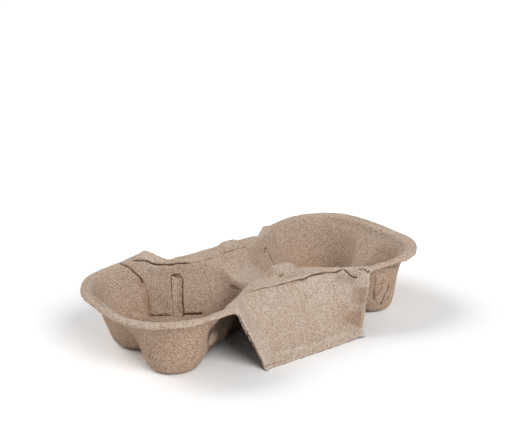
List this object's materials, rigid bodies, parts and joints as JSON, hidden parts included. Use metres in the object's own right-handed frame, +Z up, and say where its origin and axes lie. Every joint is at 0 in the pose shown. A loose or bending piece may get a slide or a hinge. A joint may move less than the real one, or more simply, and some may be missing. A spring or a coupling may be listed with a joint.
{
  "type": "moulded pulp two-cup carrier tray",
  "caption": "One-piece moulded pulp cup carrier with wells for cups, hollow feet, flexing walls with channels and slits, a rolled rim and side flaps that reach the ground.",
  "frame": {"origin": "on the ground, under the middle of the tray", "axes": "+X along the row of wells, +Y towards the back, +Z up"},
  "size_m": [0.195, 0.12, 0.0404],
  "materials": {
    "pulp": "rough, fibrous, matt"
  },
  "bodies": {
    "root": {"pulp_tray": "pulp"}
  },
  "joints": []
}
